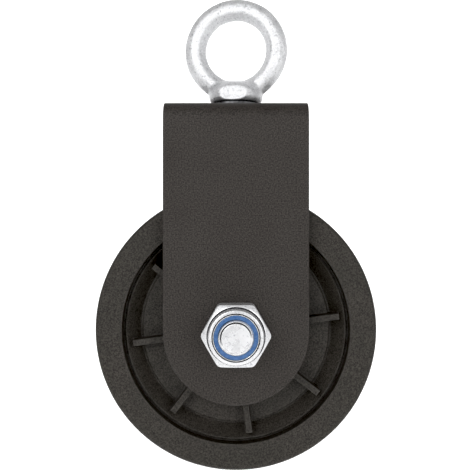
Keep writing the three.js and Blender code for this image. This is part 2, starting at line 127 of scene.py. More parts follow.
def rounded(corners, closed, steps=5):
    """An outline of (x, y) points from corners (x, y, radius), each corner rounded to its radius."""
    outline = []
    count = len(corners)
    for index, (x, y, radius) in enumerate(corners):
        here = Vector((x, y))
        if radius <= 0 or (not closed and index in (0, count - 1)):
            outline.append(here)
            continue
        before = Vector(corners[index - 1][:2]) - here
        after = Vector(corners[(index + 1) % count][:2]) - here
        half = before.angle(after) / 2
        reach = min(radius / math.tan(half), 0.49 * before.length, 0.49 * after.length)
        start = here + before.normalized() * reach
        end = here + after.normalized() * reach
        fillet = reach * math.tan(half)
        centre = here + (before.normalized() + after.normalized()).normalized() * (fillet / math.sin(half))
        from_centre = start - centre
        sweep = from_centre.angle_signed(end - centre)
        for step in range(steps + 1):
            outline.append(centre + Matrix.Rotation(-sweep * step / steps, 2) @ from_centre)
    return outline


def joined_rows(rows, closed):
    """Quads between consecutive rows of equal length, each row a closed loop."""
    columns = len(rows[0])
    vertices = [point for row in rows for point in row]
    faces = []
    pairs = len(rows) if closed else len(rows) - 1
    for row in range(pairs):
        base, other = row * columns, (row + 1) % len(rows) * columns
        for column in range(columns):
            following = (column + 1) % columns
            faces.append((base + column, base + following, other + following, other + column))
    return vertices, faces


def about_y(radius, height, angle):
    return (radius * math.cos(angle), height, radius * math.sin(angle))


def about_z(radius, height, angle):
    return (radius * math.cos(angle), radius * math.sin(angle), height)


def circle_point(radius, turn):
    """The point of a circle about the origin after a share of a turn."""
    return (radius * math.cos(TURN * turn), radius * math.sin(TURN * turn))


def circle(radius, steps, x=0.0, y=0.0):
    """The outline of a circle about (x, y)."""
    points = [circle_point(radius, step / steps) for step in range(steps)]
    return [(x + across, y + up) for across, up in points]


def turned(name, outline, place, columns=128, origin=(0, 0, 0)):
    """A body of revolution: a closed outline of (radius, height), or one with its ends on the axis."""
    closed = outline[0][0] > 1e-6
    angles = [TURN * column / columns for column in range(columns)]
    rows = []
    for radius, height in outline:
        rows.append([Vector(place(max(radius, 0), height, angle)) + Vector(origin) for angle in angles])
    vertices, faces = joined_rows(rows, closed)
    piece = new_object(name, vertices, faces)
    weigh_normals(piece)
    return piece


def axle_turned(name, outline, columns=128):
    return turned(name, outline, about_y, columns, (0, 0, AXLE_Z))


def ring_outline(inner, outer, low, high, edge=0.25):
    return rounded([(inner, low, edge), (outer, low, edge), (outer, high, edge), (inner, high, edge)], True)


# ---- Materials -----------------------------------------------------------------------------------


class Shader:
    """A Principled material with nodes that read object coordinates, in metres."""

    def __init__(self, name, metallic=0.0, specular=0.5):
        self.material = bpy.data.materials.new(name)
        self.material.use_nodes = True
        self.tree = self.material.node_tree
        self.surface = self.tree.nodes["Principled BSDF"]
        self.surface.inputs["Metallic"].default_value = metallic
        self.surface.inputs["Specular IOR Level"].default_value = specular
        self.place = self.node("ShaderNodeTexCoord").outputs["Object"]
        self.bump_normal = None

    def node(self, kind, **settings):
        made = self.tree.nodes.new(kind)
        for key, value in settings.items():
            setattr(made, key, value)
        return made

    def link(self, output, target):
        self.tree.links.new(output, target)

    def noise(self, size, detail=3.0, roughness=0.55):
        """Noise whose features are about size metres across."""
        texture = self.node("ShaderNodeTexNoise")
        texture.inputs["Scale"].default_value = 1 / size
        texture.inputs["Detail"].default_value = detail
        texture.inputs["Roughness"].default_value = roughness
        self.link(self.place, texture.inputs["Vector"])
        return texture.outputs["Fac"]

    def ramp(self, factor, stops):
        """Maps a factor through (position, colour) stops."""
        made = self.node("ShaderNodeValToRGB")
        elements = made.color_ramp.elements
        while len(elements) < len(stops):
            elements.new(0.5)
        for element, (position, colour) in zip(elements, stops):
            element.position = position
            element.color = (*colour, 1)
        self.link(factor, made.inputs["Fac"])
        return made.outputs["Color"]

    def grey_ramp(self, factor, low, high, from_low=0.3, from_high=0.7):
        return self.ramp(factor, [(from_low, (low,) * 3), (from_high, (high,) * 3)])

    def mix(self, factor, first, second, mode="MIX"):
        made = self.node("ShaderNodeMix", data_type="RGBA", blend_type=mode)
        for socket, value in ((0, factor), (6, first), (7, second)):
            if isinstance(value, bpy.types.NodeSocket):
                self.link(value, made.inputs[socket])
            elif socket == 0:
                made.inputs[socket].default_value = value
            else:
                made.inputs[socket].default_value = (*value, 1)
        return made.outputs[2]

    def bump(self, height, depth, strength=1.0):
        """Adds a bump of depth metres on top of those already there."""
        made = self.node("ShaderNodeBump")
        made.inputs["Strength"].default_value = strength
        made.inputs["Distance"].default_value = depth
        self.link(height, made.inputs["Height"])
        if self.bump_normal:
            self.link(self.bump_normal, made.inputs["Normal"])
        self.bump_normal = made.outputs["Normal"]

    def wear_and_highlight_edges(self, radius):
        """A mask that is 1 along edges and 0 on open faces, where a normal softened over radius differs."""
        softened = self.node("ShaderNodeBevel", samples=4)
        softened.inputs["Radius"].default_value = radius
        flat = self.node("ShaderNodeNewGeometry").outputs["True Normal"]
        likeness = self.node("ShaderNodeVectorMath", operation="DOT_PRODUCT")
        self.link(softened.outputs["Normal"], likeness.inputs[0])
        self.link(flat, likeness.inputs[1])
        return self.ramp(likeness.outputs["Value"], [(0.9, (1,) * 3), (0.985, (0,) * 3)])

    def hollow_shade_mask(self, distance, low=0.4, high=0.85):
        """A mask that is 0 deep in a hollow and 1 in the open, used to paint shade into hollows from
        ambient occlusion.
        """
        occlusion = self.node("ShaderNodeAmbientOcclusion", samples=8)
        occlusion.inputs["Distance"].default_value = distance
        return self.ramp(occlusion.outputs["AO"], [(low, (0,) * 3), (high, (1,) * 3)])

    def rubbed_and_highlit(self, colour, paler, size=0.004):
        """A colour that turns paler in patches along the edges: wear, and a painted edge highlight."""
        patches = self.grey_ramp(self.noise(size, detail=3), 0, 1, 0.45, 0.6)
        mask = self.mix(1.0, self.wear_and_highlight_edges(0.0008), patches, "MULTIPLY")
        return self.mix(mask, colour, paler)

    def finished(self, colour, roughness):
        for socket, value in (("Base Color", colour), ("Roughness", roughness)):
            if isinstance(value, bpy.types.NodeSocket):
                self.link(value, self.surface.inputs[socket])
            elif socket == "Base Color":
                self.surface.inputs[socket].default_value = (*value, 1)
            else:
                self.surface.inputs[socket].default_value = value
        if self.bump_normal:
            self.link(self.bump_normal, self.surface.inputs["Normal"])
        return self.material


def powder_coat():
    """Black fine-texture powder coat on steel: a sandy skin, rubbed paler in places along the edges, as
    wear and as a painted edge highlight.
    """
    shader = Shader("powder_coat", specular=0.3)
    grain = shader.noise(0.00045, detail=2, roughness=0.7)
    lumps = shader.noise(0.0016, detail=2)
    cloud = shader.noise(0.02, detail=2)
    base = shader.ramp(cloud, [(0.3, (0.036, 0.031, 0.0275)), (0.7, (0.043, 0.038, 0.034))])
    speckle = shader.ramp(grain, [(0.32, (0.25, 0.25, 0.25)), (0.7, (1.8, 1.8, 1.8))])
    tinted = shader.mix(1.0, base, speckle, "MULTIPLY")
    shader.bump(lumps, 0.00006, 0.6)
    shader.bump(grain, 0.00007, 0.8)
    # Paler patches along the edges: wear, and a painted edge highlight.
    worn_and_highlit = shader.rubbed_and_highlit(tinted, (0.075, 0.07, 0.065))
    return shader.finished(worn_and_highlit, shader.grey_ramp(grain, 0.5, 0.68))


def black_nylon():
    """Moulded black nylon with a fine eroded skin and slight flow marks."""
    shader = Shader("black_nylon", specular=0.28)
    grain = shader.noise(0.00045, detail=2, roughness=0.7)
    cloud = shader.noise(0.014, detail=3)
    base = shader.ramp(cloud, [(0.3, (0.034, 0.031, 0.026)), (0.7, (0.043, 0.038, 0.033))])
    speckle = shader.ramp(grain, [(0.32, (0.35, 0.35, 0.35)), (0.7, (1.7, 1.7, 1.7))])
    tinted = shader.mix(1.0, base, speckle, "MULTIPLY")
    shader.bump(cloud, 0.0001, 0.3)
    shader.bump(grain, 0.00005, 0.6)
    # Paler patches along the edges: wear, and a painted edge highlight.
    worn_and_highlit = shader.rubbed_and_highlit(tinted, (0.07, 0.066, 0.06))
    return shader.finished(worn_and_highlit, shader.grey_ramp(cloud, 0.48, 0.6))


def forged_zinc():
    """Bright zinc over a forged skin: soft dents, small pits and a cloudy sheen, with painted shade
    darkening its hollows.
    """
    shader = Shader("forged_zinc", metallic=0.7)
    dents = shader.noise(0.003, detail=3, roughness=0.6)
    pits = shader.noise(0.0009, detail=4, roughness=0.7)
    cloud = shader.noise(0.006, detail=3)
    colour = shader.ramp(cloud, [(0.3, (0.75, 0.755, 0.77)), (0.7, (0.92, 0.925, 0.94))])
    dark_pits = shader.ramp(pits, [(0.28, (0.45, 0.45, 0.47)), (0.44, (1, 1, 1))])
    pitted = shader.mix(1.0, colour, dark_pits, "MULTIPLY")
    grain = shader.noise(0.0005, detail=2, roughness=0.7)
    tinted = shader.mix(1.0, pitted, shader.grey_ramp(grain, 0.8, 1.08), "MULTIPLY")
    shader.bump(dents, 0.0004, 0.6)
    shader.bump(pits, 0.0004, 0.6)
    shader.bump(grain, 0.00018, 0.6)
    # Painted shade: the colour goes near black in hollows, by ambient occlusion.
    hollow_shaded = shader.mix(shader.hollow_shade_mask(0.0015), (0.03, 0.03, 0.03), tinted)
    return shader.finished(hollow_shaded, shader.grey_ramp(cloud, 0.28, 0.46))


def plated_zinc():
    """Bright zinc on machined steel, paler along its edges as wear and as a painted edge highlight, with
    painted shade darkening its hollows.
    """
    shader = Shader("plated_zinc", metallic=0.65)
    grain = shader.noise(0.0005, detail=3)
    cloud = shader.noise(0.004, detail=3)
    clean = shader.ramp(cloud, [(0.3, (0.78, 0.785, 0.8)), (0.7, (0.93, 0.935, 0.95))])
    pits = shader.ramp(shader.noise(0.0007, detail=3), [(0.3, (0.6, 0.6, 0.62)), (0.42, (1, 1, 1))])
    colour = shader.mix(1.0, clean, pits, "MULTIPLY")
    shader.bump(cloud, 0.00008, 0.4)
    shader.bump(grain, 0.00002, 0.5)
    # Paler patches along the edges: wear, and a painted edge highlight.
    worn_and_highlit = shader.rubbed_and_highlit(colour, (0.9, 0.9, 0.91), 0.001)
    # Painted shade: the colour goes near black in hollows, by ambient occlusion.
    hollow_shaded = shader.mix(shader.hollow_shade_mask(0.0012), (0.03, 0.03, 0.035), worn_and_highlit)
    return shader.finished(hollow_shaded, shader.grey_ramp(cloud, 0.2, 0.36))


def shade_dark_zinc():
    """Thin dull zinc on a pressed washer, coloured dark all over as painted shade, with more painted shade
    darkening its hollows.
    """
    shader = Shader("shade_dark_zinc", metallic=0.6)
    grain = shader.noise(0.0006, detail=3)
    cloud = shader.noise(0.002, detail=3)
    # Painted shade: a dark colour that makes the washer read as the shadowed gap it sits in.
    colour = shader.ramp(cloud, [(0.35, (0.05, 0.05, 0.052)), (0.7, (0.24, 0.24, 0.25))])
    shader.bump(grain, 0.00004, 0.5)
    # Painted shade: the colour goes near black in hollows, by ambient occlusion.
    hollow_shaded = shader.mix(shader.hollow_shade_mask(0.0015), (0.02, 0.02, 0.02), colour)
    return shader.finished(hollow_shaded, shader.grey_ramp(cloud, 0.55, 0.4))


def blue_nylon():
    """The blue locking insert, with a painted highlight along its edges."""
    shader = Shader("blue_nylon", specular=0.5)
    cloud = shader.noise(0.0015, detail=3)
    colour = shader.ramp(cloud, [(0.3, (0.040, 0.115, 0.30)), (0.7, (0.075, 0.175, 0.40))])
    shader.bump(cloud, 0.00008, 0.5)
    # Painted highlight: a light cyan colour along the edges.
    edge_highlit = shader.mix(shader.wear_and_highlight_edges(0.0003), colour, (0.16, 0.36, 0.55))
    return shader.finished(edge_highlit, shader.grey_ramp(cloud, 0.2, 0.34))


def bearing_steel():
    """Ground and polished bearing steel."""
    shader = Shader("bearing_steel", metallic=1.0)
    grain = shader.noise(0.0004, detail=3)
    cloud = shader.noise(0.005, detail=2)
    colour = shader.ramp(cloud, [(0.3, (0.55, 0.56, 0.57)), (0.7, (0.66, 0.67, 0.68))])
    shader.bump(grain, 0.00001, 0.5)
    return shader.finished(colour, shader.grey_ramp(cloud, 0.14, 0.26))


def spring_steel():
    """Dark phosphated spring steel."""
    shader = Shader("spring_steel", metallic=1.0)
    grain = shader.noise(0.0006, detail=3)
    colour = shader.ramp(grain, [(0.3, (0.07, 0.07, 0.075)), (0.7, (0.14, 0.14, 0.145))])
    shader.bump(grain, 0.00003, 0.5)
    return shader.finished(colour, shader.grey_ramp(grain, 0.35, 0.5))


def natural_nylon():
    """The cage's unpigmented nylon."""
    shader = Shader("natural_nylon", specular=0.45)
    cloud = shader.noise(0.002, detail=3)
    colour = shader.ramp(cloud, [(0.3, (0.58, 0.50, 0.34)), (0.7, (0.72, 0.65, 0.48))])
    shader.bump(cloud, 0.00005, 0.4)
    return shader.finished(colour, shader.grey_ramp(cloud, 0.4, 0.55))


FINISHES = {
    "black_powder_coat": powder_coat(),
    "black_nylon": black_nylon(),
    "forged_zinc": forged_zinc(),
    "zinc_plated_steel": plated_zinc(),
    "shade_dark_zinc": shade_dark_zinc(),
    "blue_nylon": blue_nylon(),
    "bearing_steel": bearing_steel(),
    "spring_steel": spring_steel(),
    "natural_nylon": natural_nylon(),
}


def finish(piece, body, node, slot, look=None):
    """Gives a piece its material, from its look or else its slot, and its body, and hides the CAD node that
    it stands for.
    """
    piece.data.materials.clear()
    piece.data.materials.append(FINISHES[look or slot])
    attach(piece, body)
    if node:
        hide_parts(node)
    return piece


# ---- Threads, nuts and the bolt head -------------------------------------------------------------


# The depth of a thread as a share of its pitch, and its flats at root and crest as shares of a flank.
THREAD_DEPTH = 0.61
THREAD_FLAT = 0.12


def thread_rows(radius, pitch, low, high, point, place, columns, step=0.12):
    """Rows of a helical thread from low to high. point(height) gives the largest radius there."""
    rows = []
    count = round((high - low) / step)
    for index in range(count + 1):
        height = low + (high - low) * index / count
        row = []
        for column in range(columns):
            angle = TURN * column / columns
            phase = (height / pitch + angle / TURN) % 1
            flank = abs(2 * phase - 1)
            crest = min(1, max(0, (flank - THREAD_FLAT) / (1 - 2 * THREAD_FLAT)))
            here = radius - THREAD_DEPTH * pitch * (1 - crest)
            row.append(Vector(place(min(here, point(height)), height, angle)))
        rows.append(row)
    return rows


def hexagon_outline(across_flats, edge, steps=8, flat_steps=8):
    """Points round a hexagon with rounded corners, corners on X."""
    corner = across_flats / 2 / math.cos(math.pi / 6)
    corners = [
        (corner * math.cos(TURN * side / 6), corner * math.sin(TURN * side / 6), edge) for side in range(6)
    ]
    outline = rounded(corners, True, steps)
    filled = []
    for index, here in enumerate(outline):
        following = outline[(index + 1) % len(outline)]
        filled.append(here)
        if (following - here).length > across_flats / 8:
            filled += [here.lerp(following, step / flat_steps) for step in range(1, flat_steps)]
    return filled


# A hexagon's corner rounding and the radius of its flat end face, as shares of its width across flats.
CORNER_ROUNDING = 0.09
FACE_SHARE = 0.475


def hexagon_rows(across_flats, low, high, chamfer_low, chamfer_high):
    """Rows of a hexagon about its axis from low to high, with a 30 degree chamfer at either end."""
    outline = hexagon_outline(across_flats, CORNER_ROUNDING * across_flats)
    face_radius = FACE_SHARE * across_flats
    slope = math.tan(math.pi / 6)

    def end_height(radius, end, chamfered):
        drop = max(0, radius - face_radius) * slope if chamfered else 0
        return high - drop if end > 0 else low + drop

    def loop(share, end, chamfered, inset=0.0, sink=0.0):
        row = []
        for here in outline:
            radius = face_radius + (here.length - inset - face_radius) * share
            height = end_height(radius, end, chamfered) - end * sink
            row.append((here.normalized() * radius, height))
        return row

    shares = (0, 0.25, 0.5, 0.75)
    rows = [loop(share, -1, chamfer_low) for share in shares]
    rows.append(loop(1, -1, chamfer_low, inset=0.09))
    rows.append(loop(1, -1, chamfer_low, inset=0.02, sink=0.03))
    rows.append(loop(1, -1, chamfer_low, sink=0.11))
    rows.append(loop(1, 1, chamfer_high, sink=0.11))
    rows.append(loop(1, 1, chamfer_high, inset=0.02, sink=0.03))
    rows.append(loop(1, 1, chamfer_high, inset=0.09))
    rows += [loop(share, 1, chamfer_high) for share in reversed(shares)]
    return rows


def round_rows(outline, pattern):
    """Circular rows at (radius, height) points, with the same directions as a hexagon row."""
    directions = [here.normalized() for here, _ in pattern]
    return [[(direction * radius, height) for direction in directions] for radius, height in outline]


def lock_nut(name, thread, across_flats, height, place):
    """A nylon insert lock nut that stands on 0: hexagon, rounded collar crimped over the insert, bore."""
    hexagon_top = 0.72 * height
    hexagon = hexagon_rows(across_flats, 0, hexagon_top, True, True)
    collar_radius = 0.449 * across_flats
    lip = thread + 0.68
    rim = thread + 1.22
    collar = rounded(
        [
            (0.4735 * across_flats, hexagon_top, 0),
            (collar_radius + 0.021 * across_flats, hexagon_top, 0.02),
            (collar_radius + 0.018 * across_flats, hexagon_top - 0.5, 0.05),
            (collar_radius, hexagon_top - 0.5, 0.05),
            (collar_radius, height - 1.2, 0.6),
            (collar_radius - 0.28, height - 0.14, 0.4),
            (rim, height - 0.06, 0.1),
            (rim - 0.08, height - 0.7, 0.05),
            (rim - 0.3, height - 0.7, 0.05),
            (rim - 0.36, height - 0.1, 0.06),
            (lip, height - 0.2, 0.08),
            (lip, height - 0.8, 0.1),
            (lip, 0.8 * height, 0),
        ],
        False,
        8,
    )
    bore = [
        (thread + 0.02, 0.79 * height),
        (thread + 0.02, 0.5),
        (thread + 0.5, 0.0),
        (0.47 * across_flats, 0.0),
    ]
    rows = hexagon + round_rows(collar + bore, hexagon[0])
    placed = [[place(flat, z) for flat, z in row] for row in rows]
    vertices, faces = joined_rows(placed, True)
    piece = new_object(name, vertices, faces)
    weigh_normals(piece)
    return piece


def nut_insert(name, thread, height, place):
    """The nylon ring: it grips the thread, and its top closes in over the end of the bolt."""
    outer = thread + 0.66
    mouth = thread - 0.74
    outline = rounded(
        [
            (thread + 0.03, 0.8 * height + 0.05, 0),
            (outer, 0.8 * height + 0.05, 0.1),
            (outer, height - 0.42, 0.25),
            (mouth, height - 0.34, 0.3),
            (mouth + 0.05, height - 1.1, 0.1),
            (thread + 0.03, height - 1.5, 0),
        ],
        True,
        5,
    )
    directions = [Vector(circle_point(1, step / 96)) for step in range(96)]
    rows = [[place(direction * radius, z) for direction in directions] for radius, z in outline]
    vertices, faces = joined_rows(rows, True)
    piece = new_object(name, vertices, faces)
    weigh_normals(piece)
    return piece


# ---- Eye bolt ------------------------------------------------------------------------------------


NECK_FLAT = 7.9


def eye_forging():
    """The forged eye, neck and collar, blended into one skin with a slightly uneven surface."""
    outer = EYE_TOP - 0.1
    inner = 10.0
    half = 3.75
    corners = [
        (inner, 0, 1.6),
        (inner + 0.25, 1.1, 1.5),
        (inner + 2.0, half - 0.25, 1.1),
        (inner + 3.2, half, 3.0),
        (outer - 2.5, half - 0.25, 2.2),
        (outer - 0.7, half - 1.7, 1.6),
        (outer, 0, 2.2),
    ]
    corners += [(radius, -along, fillet) for radius, along, fillet in reversed(corners[1:-1])]
    ring = turned("eye_ring", rounded(corners, True, 6), about_y, 192)

    collar = 9.1
    seat = EYE_SEAT
    outline = rounded(
        [
            (0, seat, 0),
            (7.3, seat, 0),
            (7.3, seat + 0.45, 0.1),
            (8.2, seat + 0.5, 0.2),
            (8.9, seat + 1.4, 0.7),
            (collar, seat + 2.6, 1.5),
            (collar - 0.2, seat + 4.8, 1.5),
            (5.5, seat + 7.2, 1.2),
            (0, seat + 7.4, 0),
        ],
        False,
        8,
    )
    stem = turned("eye_stem", outline, about_z, 128)
    both = [ring, stem]
    with bpy.context.temp_override(
        active_object=ring, object=ring, selected_objects=both, selected_editable_objects=both
    ):
        bpy.ops.object.join()
    apply_modifier(ring, "REMESH", mode="VOXEL", voxel_size=0.3 * MM, use_smooth_shade=True)
    flatten_neck(ring, seat)
    soften_junction(ring, seat)
    roughen(ring, seat)
    ring.data.transform(Matrix.Rotation(EYE_TURN, 4, "Z"))
    ring.name = "eye_forging"
    return ring


def flatten_neck(piece, seat):
    """The flat that the die leaves on the front and on the back of the neck."""
    for vertex in piece.data.vertices:
        if vertex.co.z < (seat + 6.2) * MM:
            vertex.co.y = min(NECK_FLAT * MM, max(-NECK_FLAT * MM, vertex.co.y))


def soften_junction(piece, seat):
    """Smooths the hollow between neck and ring, as a forging die leaves it, and takes off voxel steps."""
    apply_modifier(piece, "SMOOTH", factor=0.5, iterations=4)
    group = piece.vertex_groups.new(name="junction")
    for vertex in piece.data.vertices:
        height = vertex.co.z / MM - seat
        weight = min(1, max(0, (height - 3.6) / 1.5)) * min(1, max(0, (11.0 - height) / 3))
        if weight > 0:
            group.add([vertex.index], weight, "REPLACE")
    apply_modifier(piece, "SMOOTH", factor=0.5, iterations=110, vertex_group="junction")
    piece.vertex_groups.clear()


def roughen(piece, seat):
    """Moves the skin in and out by hundredths of a millimetre, never past the seat."""
    mesh = piece.data
    normals = [vertex.normal.copy() for vertex in mesh.vertices]
    for vertex, normal in zip(mesh.vertices, normals):
        place = vertex.co / MM
        wave = noise.noise(place / 5) * 0.07 + noise.noise(place / 1.7 + Vector((9, 4, 2))) * 0.04
        fade = min(1, max(0, (place.z - seat) / 1.0))
        vertex.co += normal * (wave - 0.04) * fade * MM


def eye_shank():
    """The threaded shank under the collar."""
    columns = 96
    end = EYE_SHANK_END

    def tip(height):
        return EYE_THREAD - 0.95 + max(0, height - end)

    rows = thread_rows(EYE_THREAD, 1.25, end, BRIDGE_TOP - STRAP_THICKNESS - 0.5, tip, about_z, columns)
    plain = [BRIDGE_TOP - STRAP_THICKNESS + 0.3, EYE_SEAT + 2]
    for height in plain:
        rows.append([Vector(about_z(EYE_THREAD, height, TURN * c / columns)) for c in range(columns)])
    for height, order in ((end, 0), (EYE_SEAT + 2, len(rows))):
        rows.insert(order, [Vector((0, 0, height))] * columns)
    vertices, faces = joined_rows(rows, False)
    piece = new_object("eye_shank", vertices, faces)
    return piece


def washer(name, node):
    low, high = node_box(node)
    inner = EYE_THREAD + 0.2
    return turned(name, ring_outline(inner, (high.x - low.x) / 2, low.z, high.z), about_z, 96)


def eye_nut_place(flat, height):
    """A point of the eye's nut, which stands upside down under the bridge."""
    turned_flat = Matrix.Rotation(EYE_TURN, 2) @ flat
    return Vector((turned_flat.x, turned_flat.y, EYE_NUT_HIGH.z - height))


def build_eye():
    finish(eye_forging(), "eye", "eye_bolt", "zinc_plated_steel", "forged_zinc")
    finish(eye_shank(), "eye", None, "zinc_plated_steel")
    for node in ("eye_washer_upper", "eye_washer_lower"):
        # The washers take a zinc coloured dark, as painted shade.
        finish(washer("fine_" + node, node), "eye", node, "zinc_plated_steel", "shade_dark_zinc")
    height = EYE_NUT_HIGH.z - EYE_NUT_LOW.z
    nut = lock_nut("fine_eye_lock_nut", EYE_THREAD, 12.9, height, eye_nut_place)
    finish(nut, "eye", "eye_lock_nut", "zinc_plated_steel")
    insert = nut_insert("fine_eye_nut_insert", EYE_THREAD, height, eye_nut_place)
    finish(insert, "eye", "eye_nut_insert", "blue_nylon")


# ---- Bracket -------------------------------------------------------------------------------------


def prism(name, outline, place, low, high):
    """A straight prism of an outline of (x, y) points."""
    count = len(outline)
    vertices = [place(x, y, low) for x, y in outline] + [place(x, y, high) for x, y in outline]
    faces = [tuple(range(count)), tuple(range(2 * count - 1, count - 1, -1))]
    for index in range(count):
        following = (index + 1) % count
        faces.append((index, following, count + following, count + index))
    return new_object(name, vertices, faces, smooth=False)


def bent_strap():
    """The strap's side profile drawn across its width, trimmed to its front outline, with three holes."""
    bottom = AXLE_Z - STRAP_HALF_WIDTH - 2
    bend = 2.5 + STRAP_THICKNESS
    profile = rounded(
        [
            (-STRAP_OUTER, bottom, 0),
            (-STRAP_OUTER, BRIDGE_TOP, bend),
            (STRAP_OUTER, BRIDGE_TOP, bend),
            (STRAP_OUTER, bottom, 0),
            (STRAP_INNER, bottom, 0),
            (STRAP_INNER, BRIDGE_TOP - STRAP_THICKNESS, bend - STRAP_THICKNESS),
            (-STRAP_INNER, BRIDGE_TOP - STRAP_THICKNESS, bend - STRAP_THICKNESS),
            (-STRAP_INNER, bottom, 0),
        ],
        True,
        16,
    )
    past_edge = STRAP_HALF_WIDTH + 1
    strap = prism("fine_bracket", profile, lambda y, z, x: (x, y, z), -past_edge, past_edge)
    front = [(-STRAP_HALF_WIDTH, BRIDGE_TOP + 5), (-STRAP_HALF_WIDTH, AXLE_Z)]
    for step in range(1, 96):
        x, z = circle_point(STRAP_HALF_WIDTH, 0.5 * step / 96)
        front.append((-x, AXLE_Z - z))
    front += [(STRAP_HALF_WIDTH, AXLE_Z), (STRAP_HALF_WIDTH, BRIDGE_TOP + 5)]
    past_cheek = STRAP_OUTER + 5
    trim = prism("trim", front, lambda x, z, y: (x, y, z), -past_cheek, past_cheek)
    apply_boolean(strap, trim, "INTERSECT")
    axle_hole = circle(AXLE_THREAD + 0.25, 64, 0, AXLE_Z)
    drill = prism("drill", axle_hole, lambda x, z, y: (x, y, z), -past_cheek, past_cheek)
    apply_boolean(strap, drill, "DIFFERENCE")
    eye_hole = circle(EYE_THREAD + 0.06, 64)
    drill = prism("drill", eye_hole, lambda x, y, z: (x, y, z), BRIDGE_TOP - 10, BRIDGE_TOP + 5)
    apply_boolean(strap, drill, "DIFFERENCE")
    bevel_edges(strap, 0.35, 4)
    for polygon in strap.data.polygons:
        polygon.use_smooth = True
    weigh_normals(strap)
    return strap


def apply_boolean(piece, tool, operation):
    apply_modifier(piece, "BOOLEAN", operation=operation, object=tool, solver="EXACT")
    bpy.data.objects.remove(tool)


# ---- Axle ----------------------------------------------------------------------------------------


def axle_place(flat, height):
    return Vector((flat.x, height, AXLE_Z + flat.y))


def axle_nut_place(flat, height):
    """A point of the axle's nut, which stands on the front of the bracket."""
    return axle_place(flat, AXLE_NUT_HIGH.y - height)


# The end of the bolt as (radius, distance from the end, further distance where the thread runs out).
BOLT_END = (
    (0, 0, 0),
    (2, 0, 0),
    (4.1, 0, 0),
    (4.3, 0.05, 0),
    (4.36, 0.16, 0),
    (4.38, 0.3, 0.55),
    (4.66, 0.3, 0.6),
    (4.72, 0.3, 0),
    (4.84, 0.26, 0),
    (4.98, 0.36, 0),
)
THREAD_EXIT = Vector((math.cos(math.radians(105)), math.sin(math.radians(105))))


def bolt_end_row(directions, end, radius, height, exit_depth):
    """A row of the bolt's end, sunk where the last turn of the thread leaves the chamfer."""
    row = []
    for here, _ in directions:
        flat = here.normalized()
        share = min(1, max(0, 0.4 + 1.5 * flat.dot(THREAD_EXIT)))
        row.append(axle_place(flat * radius, end + height + exit_depth * share))
    return row


def axle_bolt():
    """The bolt: chamfered hexagon head with a washer face, plain shank, threaded end with a point."""
    head = hexagon_rows(19, STRAP_OUTER + 0.4, AXLE_HIGH.y, False, True)
    directions = head[0]
    crown = round_rows([(8.2, AXLE_HIGH.y), (5, AXLE_HIGH.y), (0, AXLE_HIGH.y)], directions)
    washer_face = [
        (AXLE_THREAD, STRAP_OUTER),
        (8.7, STRAP_OUTER),
        (8.8, STRAP_OUTER + 0.1),
        (8.8, STRAP_OUTER + 0.4),
    ]
    face = round_rows(washer_face, directions)
    columns = len(directions)
    end = AXLE_LOW.y

    def tip(height):
        return 4.4 + 0.66 * max(0, height - end)

    def at_angle(radius, height, angle):
        column = round(angle / TURN * columns) % columns
        return axle_place(directions[column][0].normalized() * radius, height)

    thread_end = -STRAP_INNER + 1
    shank = [bolt_end_row(directions, end, *spot) for spot in BOLT_END]
    shank += thread_rows(AXLE_THREAD, 1.75, end + 1.0, thread_end, tip, at_angle, columns, 0.08)
    rest = round_rows([(AXLE_THREAD, thread_end + 1)], directions) + face + head + crown
    shank += [[axle_place(here, height) for here, height in row] for row in rest]
    vertices, faces = joined_rows(shank, False)
    piece = new_object("fine_axle_bolt", vertices, faces)
    weigh_normals(piece)
    return piece


def spacer(name, node):
    low, high = node_box(node)
    return axle_turned(name, ring_outline(AXLE_THREAD + 0.25, (high.x - low.x) / 2, low.y, high.y, 0.5), 96)


def build_axle():
    finish(axle_bolt(), "frame", "axle_bolt", "zinc_plated_steel")
    height = AXLE_NUT_HIGH.y - AXLE_NUT_LOW.y
    nut = lock_nut("fine_axle_lock_nut", AXLE_THREAD, 18.7, height, axle_nut_place)
    finish(nut, "frame", "axle_lock_nut", "zinc_plated_steel")
    insert = nut_insert("fine_axle_nut_insert", AXLE_THREAD, height, axle_nut_place)
    finish(insert, "frame", "axle_nut_insert", "blue_nylon")
    for node in ("spacer_front", "spacer_rear"):
        finish(spacer("fine_" + node, node), "frame", node, "zinc_plated_steel")


# ---- Sheave --------------------------------------------------------------------------------------

RIBS = 8
RIB_PHASE = math.radians(7.4)
RIB_TOP = SHEAVE_HALF - 0.5
RIB_HALF = 1.0
RIB_END = 33.25
RIB_DRAFT = 0.05
RIB_EDGE = 0.25
RIB_FOOT = 0.35
# Distances from the rib's side or end, outwards, at which the skin has a row or a column.
RIB_CUTS = (-0.25, -0.16, -0.07, -0.02, 0.0, 0.05, 0.12, 0.22, 0.4)
BETWEEN_RIBS = 22


def sheave_front():
    """The front half of the wheel's outline as (radius, distance from the middle plane, fillet)."""
    half = SHEAVE_HALF
    rim = SHEAVE_RADIUS
    return [
        (20.5, half - 0.5, 0.5),
        (20.7, half - 4.5, 0.4),
        (30.2, half - 4.5, 0.35),
        (30.35, half - 7.0, 0.6),
        (35.45, half - 2.15, 0.3),
        (35.62, half - 3.6, 0.1),
        (36.25, half - 3.6, 0.1),
        (36.35, half, 0.3),
        (rim, half, 1.5),
        (rim, 5.95, 0.8),
        (39.42, 3.33, 0.6),
    ]


